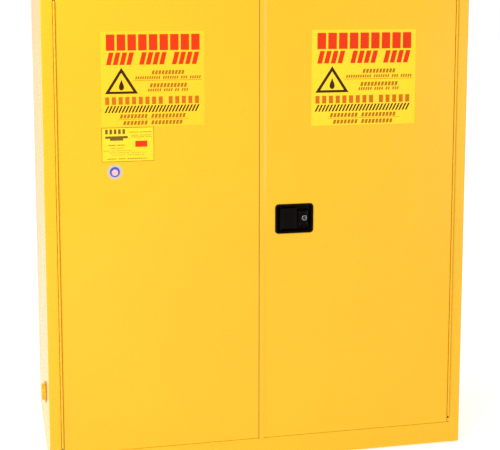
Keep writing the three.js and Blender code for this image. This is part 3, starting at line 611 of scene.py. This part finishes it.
def handle_pan():
    """The pressed pan: a rolled flange on the door, a tub behind it and a boss for the lock."""
    width, height = PAN[1].x - PAN[0].x, PAN[1].z - PAN[0].z
    face = PAN[0].y  # the flange's front

    def outline(inset):
        corner = max(PAN_CORNER - inset, 2.5 * MM)
        return round_rectangle(
            PAN_MIDDLE.x, PAN_MIDDLE.z, width - 2 * inset, height - 2 * inset, corner
        )

    # Each step is (inset from the flange's outline, depth behind its front), in millimetres.
    section = [
        (7.5, 21.2),
        (7.5, 3.0),
        (0.7, 3.0),
        (0.0, 2.3),
        (0.0, 1.5),
        (0.5, 0.6),
        (1.6, 0.0),
        (5.6, 0.0),
        (6.8, 0.4),
        (7.7, 1.3),
        (8.3, 2.6),
        (9.6, 4.2),
        (9.8, 17.0),
        (10.6, 18.6),
        (12.2, 19.2),
    ]
    bm = bmesh.new()
    stack(bm, "y", [(outline(inset * MM), face + depth * MM) for inset, depth in section])
    lock = middle("lock_body")
    boss = [
        (0.0, face + PAN_DEPTH + 0.5 * MM),
        (0.0, face + 6.4 * MM),
        (0.9, face + 5.5 * MM),
        (2.2, face + BOSS_DEPTH),
    ]
    rings = []
    for inset, at in boss:
        size = (38 - 2 * inset) * MM, (52 - 2 * inset) * MM
        corner = (3.4 - inset) * MM
        rings.append((round_rectangle(lock.x - BOSS_LEFT, PAN_MIDDLE.z, *size, corner), at))
    stack(bm, "y", rings)
    make("handle_pan_pressed", bm, "right_door", [SLOT_MATERIALS["black_handle"]],
         ["handle_pan"], sharp=50)


def paddle():
    """The paddle: a dished plate with a rolled left edge and a round grip along its right edge."""
    low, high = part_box("paddle")
    pin = middle("paddle_pin")
    roll = 4.6 * MM
    bead = 4.2 * MM
    grip = Vector((high.x - bead, low.y + bead))
    back = pin.y + 1.4 * MM
    front = pin.y - 2.6 * MM
    section = [(pin.x + roll * math.cos(a), pin.y + roll * math.sin(a))
               for a in (math.radians(d) for d in range(40, 320, 20))]
    dish = [pin.x + 6 * MM + (grip.x - pin.x - 14 * MM) * i / 8 for i in range(9)]
    section += [(x, front + 0.7 * MM * math.sin(math.pi * i / 8)) for i, x in enumerate(dish)]
    section += [(grip.x + bead * math.cos(a), grip.y + bead * math.sin(a))
                for a in (math.radians(d) for d in range(205, 361, 18))]
    section += [(high.x, back - 1.2 * MM), (high.x - 1.2 * MM, back)]
    bm = bmesh.new()
    prism(bm, "z", section, low.z, high.z)
    half = 5 * MM  # of the finger that reaches back to the latch hub
    block(bm, (pin.x + 9 * MM, back - 0.5 * MM, pin.z - half),
          (pin.x + 15 * MM, high.y, pin.z + half))
    button = [(back, 2.4 * MM), (back - 4.6 * MM, 2.4 * MM)]
    button += [(back - 4.9 * MM, 2.0 * MM), (back - 5.0 * MM, 1.2 * MM)]
    turned(bm, "y", (pin.z, (low.x + high.x) / 2 + 5 * MM), button, 24)
    make("paddle_rolled", bm, "paddle", [SLOT_MATERIALS["black_handle"]],
         ["paddle"], soften=0.8 * MM)


def lock_ring():
    """The lock's turned face: a rounded rim, a shallow dish and the bore for the plug."""
    low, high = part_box("lock_body")
    centre = middle("lock_body")
    section = [(high.y, 9.0), (low.y + 3 * MM, 9.0), (low.y + 1.2 * MM, 9.3)]
    section += [(low.y + 0.3 * MM, 8.9), (low.y, 8.3), (low.y + 0.1 * MM, 7.9)]
    section += [(low.y + 0.5 * MM, 7.2), (high.y, 7.2)]
    bm = bmesh.new()
    turned(bm, "y", (centre.z, centre.x), [(at, radius * MM) for at, radius in section], 48, True)
    make("lock_ring_turned", bm, "right_door", [SLOT_MATERIALS["lock_chrome"]],
         ["lock_body"], sharp=50)


def boss_rivets():
    """Four small rivets that hold the lock's plate to the pan."""
    lock = middle("lock_body")
    face = PAN[0].y + BOSS_DEPTH
    places = [((PAN_MIDDLE.z + up * 21 * MM, lock.x - BOSS_LEFT + across * 14 * MM), face)
              for up in (-1, 1) for across in (-1, 1)]
    studs("handle_rivets", "right_door", places, "y", -1, 1.3 * MM, 0.9 * MM, SHADED_PLUG_CHROME)


def lip_shadow_strip():
    """A thin black strip along the free edge of the right door's lip, painted shadow for the dark
    gap under the lip's edge.
    """
    low, high = DOORS["right"]
    width, short = 1.3 * MM, 3 * MM
    bm = bmesh.new()
    block(bm, (low.x - width, low.y + 0.3 * MM, low.z + short),
          (low.x, FRONT - 0.15 * MM, high.z - short))
    make("lip_shadow_strip", bm, "right_door", [SLOT_MATERIALS["black_nylon"]])


handle_pan()
paddle()
lock_ring()
lip_shadow_strip()

# ---------------------------------------------------------------- vent bungs

TEETH = 16
TOOTH = 0.05  # a tooth's share of the flange's radius
FLANGE = 31  # radii over this, in millimetres, belong to the toothed flange
BUNG_POINTS = 96


def tooth(i):
    """How far point i of the flange stands out, from -0.3 in a gap to 1 on a tooth."""
    return 1.0 if i * TEETH * 2 // BUNG_POINTS % 2 else -0.3


def vent_bung(side):
    """A screwed bung: a toothed flange, a round boss and a cup with two lugs to turn it by."""
    low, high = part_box(f"{side}_vent_bung")
    centre = (low + high) / 2
    outward = -INWARD[side]
    side_plane = outward * SIDE
    proud = (high.x - side_plane) if outward > 0 else (side_plane - low.x)

    # Each step is (distance outside the cabinet's side, radius), in millimetres.
    top = proud / MM
    stem = [(top - 5, 6), (top - 5, 18), (-10.5, 19.5), (-11.5, 20.5), (-11.5, 22.4)]
    stem += [(-11 + 1.5 * i, 24.2 if i % 2 else 22.8) for i in range(9)]
    cap = [(1.4, 23.0), (1.4, 35.4), (1.9, 36.2), (4.8, 36.2), (5.5, 35.4), (5.5, 29.6)]
    cap += [(top - 3.4, 28.6), (top - 1.4, 27.8), (top - 0.4, 26.8), (top, 25.2), (top, 21.2)]
    cup = [(top - 0.7, 20.2), (top - 2.8, 19.6), (top - 3.4, 18.6), (top - 3.4, 6.0)]
    bm = bmesh.new()
    rings = []
    for out, radius in stem + cap + cup:
        points = circle(radius * MM, (centre.y, centre.z), BUNG_POINTS)
        if radius > FLANGE:
            points = [
                (
                    centre.y + (y - centre.y) * (1 + TOOTH * tooth(i)),
                    centre.z + (z - centre.z) * (1 + TOOTH * tooth(i)),
                )
                for i, (y, z) in enumerate(points)
            ]
        rings.append((points, side_plane + outward * out * MM))
    stack(bm, "x", rings)
    for lug in (-1, 1):
        y = sorted((centre.y + lug * 12 * MM, centre.y + lug * 20 * MM))
        x = sorted(side_plane + outward * (top - back) * MM for back in (4, 1))
        block(bm, (x[0], y[0], centre.z - 4 * MM), (x[1], y[1], centre.z + 4 * MM))
    make(f"{side}_vent_plug", bm, f"{side}_vent_bung", [YELLOW],
         [f"{side}_vent_bung"], soften=0.5 * MM)


for side in ("left", "right"):
    vent_bung(side)

# ---------------------------------------------------------------- rollers and their washers


def rollers(side):
    """The rollers of one drum deck: tubes with a rim and a hub, and a washer outside each end."""
    deck_low, deck_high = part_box(f"{side}_roller_deck")
    washers = bmesh.new()
    edge = 1.2 * MM
    hub, axle = 11 * MM, 6 * MM
    a, b = deck_low.x + 6 * MM, deck_high.x - 6 * MM  # the tube's ends
    index = 1
    while f"{side}_roller_{index}" in NODES:
        node = f"{side}_roller_{index}"
        low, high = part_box(node)
        centre = ((low.y + high.y) / 2, (low.z + high.z) / 2)
        radius = (high.z - low.z) / 2
        bm = bmesh.new()
        section = [(low.x, axle), (a, axle), (a, hub), (a + 0.8 * MM, hub)]
        section += [(a + 0.8 * MM, radius - 2.4 * MM), (a, radius - 1.6 * MM)]
        section += [(a, radius - edge), (a + edge, radius)]
        mirror = [(a + b - x, r) for x, r in reversed(section[1:])]
        turned(bm, "x", centre, section + mirror + [(high.x, axle)], 40)
        make(f"{node}_turned", bm, node, [SLOT_MATERIALS["bright_steel"]], [node])
        for x0, x1 in ((deck_low.x - 1.6 * MM, deck_low.x - 0.1 * MM),
                       (deck_high.x + 0.1 * MM, deck_high.x + 1.6 * MM)):
            washer = [(x0, 9 * MM), (x0, 10 * MM), (x1, 10 * MM), (x1, 9 * MM)]
            turned(washers, "x", centre, washer, 24)
        index += 1
    make(f"{side}_deck_washers", washers, "cabinet", [SLOT_MATERIALS["bright_steel"]])


for side in ("left", "right"):
    rollers(side)

# ---------------------------------------------------------------- shelf


def shelf():
    """A folded shelf: pressed ribs along it, a turned-down edge all round and a hem under it."""
    low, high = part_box("shelf")
    sheet = 1.2 * MM
    ribs = 5
    pitch = (high.y - low.y) / (ribs + 1)
    sunk, wide, narrow = -2.5 * MM, 14 * MM, 9 * MM  # a rib's depth, and its half widths
    top = []
    for i in range(ribs):
        y = low.y + pitch * (i + 1)
        top += [(y - wide, 0), (y - narrow, sunk), (y + narrow, sunk), (y + wide, 0)]
    bend, round_off = 2 * MM, 0.6 * MM
    over = [(low.y, low.z), (low.y, high.z - bend), (low.y + round_off, high.z - round_off)]
    over += [(low.y + bend, high.z)] + [(y, high.z + z) for y, z in top]
    over += [(high.y - bend, high.z), (high.y - round_off, high.z - round_off)]
    over += [(high.y, high.z - bend), (high.y, low.z)]
    under = [(high.y - sheet, low.z), (high.y - sheet, high.z - bend)]
    under += [(high.y - bend, high.z - sheet)]
    under += [(y, high.z + z - sheet) for y, z in reversed(top)]
    under += [(low.y + bend, high.z - sheet), (low.y + sheet, high.z - bend)]
    under += [(low.y + sheet, low.z)]
    bm = bmesh.new()
    prism(bm, "x", over + under, low.x + sheet, high.x - sheet)
    lap, inside = 0.2 * MM, 0.1 * MM
    for near, far in ((low.x, low.x + sheet + lap), (high.x - sheet - lap, high.x)):
        block(bm, (near, low.y + inside, low.z + inside),
              (far, high.y - inside, high.z - 0.4 * MM))
    hem = 14 * MM
    block(bm, (low.x + 1.5 * sheet, low.y + 0.6 * MM, low.z + inside),
          (high.x - 1.5 * sheet, low.y + hem, low.z + sheet))
    make("shelf_folded", bm, "shelf", [SLOT_MATERIALS["galvanised_steel"]],
         ["shelf"], soften=0.3 * MM)


shelf()

# ---------------------------------------------------------------- ground stud

HEX = 6
THREAD_DEPTH = 0.45 * MM


def thread(low, high, radius, pitch=1.25 * MM):
    """The rings of a fine thread between two places."""
    steps = int((high - low) / (pitch / 2))
    return [
        (low + i * pitch / 2, radius - (THREAD_DEPTH if i % 2 else 0.0))
        for i in range(steps + 1)
    ]


def ground_stud():
    """The earthing stud: a threaded rod with a washer and a nut on each side of the wall."""
    low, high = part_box("ground_stud")
    centre = ((low.y + high.y) / 2, (low.z + high.z) / 2)
    bm = bmesh.new()
    rod = thread(low.x, high.x - 1.5 * MM, 4 * MM)
    turned(bm, "x", centre, rod + [(high.x - 0.6 * MM, 3.4 * MM), (high.x, 2.6 * MM)], 32)
    washer = SIDE + 0.3 * MM
    turned(bm, "x", centre, [(washer, 9 * MM), (washer + 1.5 * MM, 9 * MM)], 40)
    for near, far in ((low.x + 2 * MM, SIDE - 1.5 * MM), (washer + 1.5 * MM, SIDE + 8 * MM)):
        prism(bm, "x", circle(7.5 * MM, centre, HEX), near, far)
    make("ground_stud_threaded", bm, "cabinet", [SLOT_MATERIALS["brass"]],
         ["ground_stud"], soften=0.3 * MM)


ground_stud()

# ---------------------------------------------------------------- rivets and spot welds


def door_rivets(side):
    """Rivets round the edge of the tray that closes the door from behind."""
    low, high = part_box(f"{side}_door_inner")
    inset = 18 * MM
    x0, x1, z0, z1 = low.x + inset, high.x - inset, low.z + inset, high.z - inset
    places = [((z, x), high.y) for x in evenly(x0, x1, 160 * MM) for z in (z0, z1)]
    places += [((z, x), high.y) for z in evenly(z0, z1, 190 * MM)[1:-1] for x in (x0, x1)]
    studs(f"{side}_door_rivets", f"{side}_door", places, "y", 1, 3.2 * MM, 1.3 * MM,
          SLOT_MATERIALS["bright_steel"])


def back_welds():
    """Spot welds where the back panel meets the flanges and posts behind it."""
    low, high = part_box("outer_back")
    inset = 34 * MM
    x0, x1, z0, z1 = low.x + inset, high.x - inset, low.z + inset, high.z - inset
    places = [((z, x), high.y) for x in (x0, 0, x1) for z in evenly(z0, z1, 125 * MM)]
    places += [((z, x), high.y) for x in evenly(x0, x1, 140 * MM) for z in (z0, z1)]
    studs("back_spot_welds", "cabinet", places, "y", 1, 3.5 * MM, 0.35 * MM, YELLOW)


for side in ("left", "right"):
    door_rivets(side)
back_welds()
boss_rivets()

# ---------------------------------------------------------------- floor, light and camera

FLOOR_RADIUS = 30.0
FLOOR_THICKNESS = 0.02
AIM = (0, FRONT, 0.9)  # the point on the doors that both lamps face


def stage():
    """A plain white floor that reaches past the picture's edges."""
    bm = bmesh.new()
    turned(bm, "z", (0, 0), [(-FLOOR_THICKNESS, FLOOR_RADIUS), (0.0, FLOOR_RADIUS)], 64)
    mesh = bpy.data.meshes.new("floor")
    bm.to_mesh(mesh)
    bm.free()
    floor = bpy.data.objects.new("floor", mesh)
    bpy.context.scene.collection.objects.link(floor)
    n = Nodes("floor_white", Roughness=0.6, Emission_Strength=0.48)
    n.set(n.ramp(n.noise(0.8), (0.90, 0.90, 0.90, 1), (0.93, 0.93, 0.93, 1)), "Base Color")
    n.shader.inputs["Emission Color"].default_value = (1, 1, 1, 1)
    mesh.materials.append(n.material)


def lamp(name, place, size, power):
    """A white rectangular lamp that faces AIM and isn't seen by the camera."""
    light = bpy.data.lights.new(name, "AREA")
    light.shape = "RECTANGLE"
    light.size, light.size_y = size
    light.energy = power
    holder = bpy.data.objects.new(name, light)
    holder.location = place
    holder.rotation_euler = (Vector(AIM) - Vector(place)).to_track_quat("-Z", "Y").to_euler()
    holder.visible_camera = False
    bpy.context.scene.collection.objects.link(holder)


def studio():
    """Soft light from a white surround, a wide lamp on the left and a narrow one on the right."""
    world = bpy.data.worlds.new("studio")
    world.use_nodes = True
    tree = world.node_tree
    direction = tree.nodes.new("ShaderNodeTexCoord").outputs["Generated"]
    parts = tree.nodes.new("ShaderNodeSeparateXYZ")
    tree.links.new(direction, parts.inputs[0])
    fade = tree.nodes.new("ShaderNodeValToRGB")
    # White up to just over the horizon, and light grey from there to overhead.
    for stop, height, white in zip(fade.color_ramp.elements, (0.10, 0.35), (1.0, 0.66)):
        stop.position = height
        stop.color = (white, white, white, 1)
    tree.links.new(parts.outputs["Z"], fade.inputs["Fac"])
    tree.links.new(fade.outputs["Color"], tree.nodes["Background"].inputs["Color"])
    bpy.context.scene.world = world
    lamp("key", (-2.9, -2.8, 2.9), (2.2, 2.2), 150)
    lamp("strip", (2.95, -4.45, 0.95), (0.5, 1.9), 24)
    bpy.context.scene.view_settings.view_transform = "Standard"


def camera():
    """A camera in front of the left door's outer part, turned to the right and a little down."""
    tilt_down, turn_right = 7.338, 12.50
    data = bpy.data.cameras.new("camera")
    data.sensor_width = 36
    data.lens = 82.63
    data.shift_x = 0.0111
    data.shift_y = -0.1802
    data.clip_end = 100
    eye = bpy.data.objects.new("camera", data)
    eye.location = (-0.898, -4.150, 1.651)
    eye.rotation_euler = (math.radians(90 - tilt_down), 0, math.radians(-turn_right))
    bpy.context.scene.collection.objects.link(eye)
    bpy.context.scene.camera = eye


stage()
studio()
camera()
